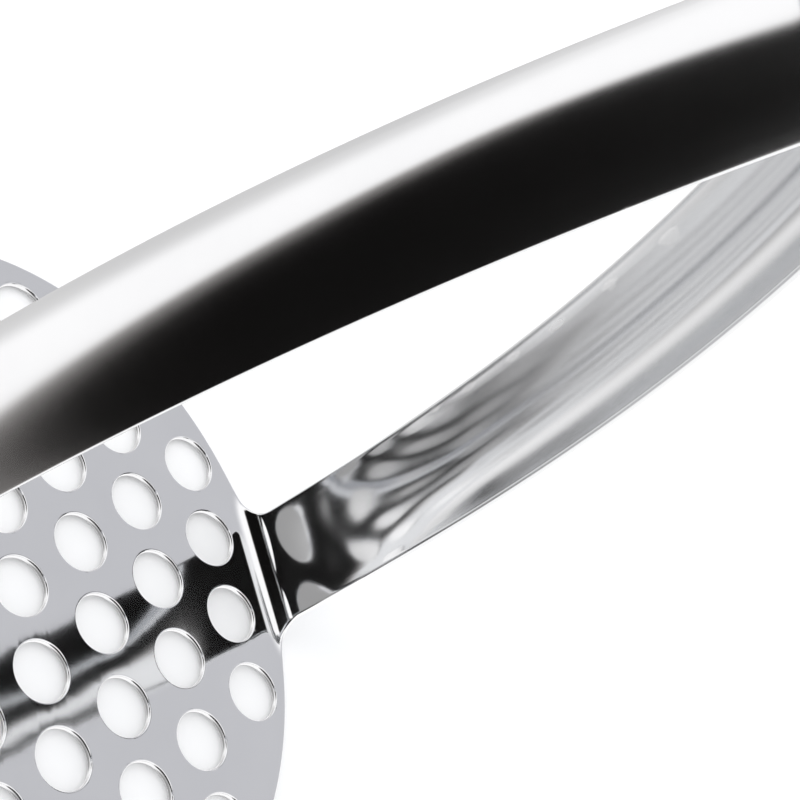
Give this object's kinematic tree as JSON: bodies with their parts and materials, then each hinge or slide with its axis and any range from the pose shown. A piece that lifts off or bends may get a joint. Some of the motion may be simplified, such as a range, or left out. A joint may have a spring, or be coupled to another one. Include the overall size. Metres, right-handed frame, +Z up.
{
  "type": "potato masher",
  "caption": "Hand press for soft food: oval perforated plate carried square to a straight tubular handle by two gutter-shaped arms, with a swinging hanging ring.",
  "frame": {"origin": "centre of the plate's flat underside", "axes": "+Z up through the handle, the two arms lie in the XZ plane at +X and -X, Y across the plate's wider direction; the hanging ring rests toward +X"},
  "size_m": [0.0788, 0.0864, 0.2826],
  "materials": {
    "polished_sheet": "mirror-polished stainless sheet",
    "handle_steel": "bright satin-polished stainless tube",
    "core_steel": "plain as-cast stainless filler",
    "rivet_steel": "plain drawn stainless wire",
    "ring_wire": "bright-drawn stainless wire"
  },
  "bodies": {
    "masher": {"mashing_plate": "polished_sheet", "arm_left": "polished_sheet", "arm_right": "polished_sheet", "handle_core": "core_steel", "tang_rivet_lower": "rivet_steel", "tang_rivet_upper": "rivet_steel", "handle_ferrule": "handle_steel", "handle_tube": "handle_steel", "end_cap": "handle_steel"},
    "ring": {"hanging_ring": "ring_wire"}
  },
  "joints": [
    {"name": "ring_swing", "type": "hinge", "parent": "masher", "child": "ring", "pos_m": [0, 0, 0.277], "axis": [0, -1, 0], "range_deg": [0, 305.2]}
  ]
}
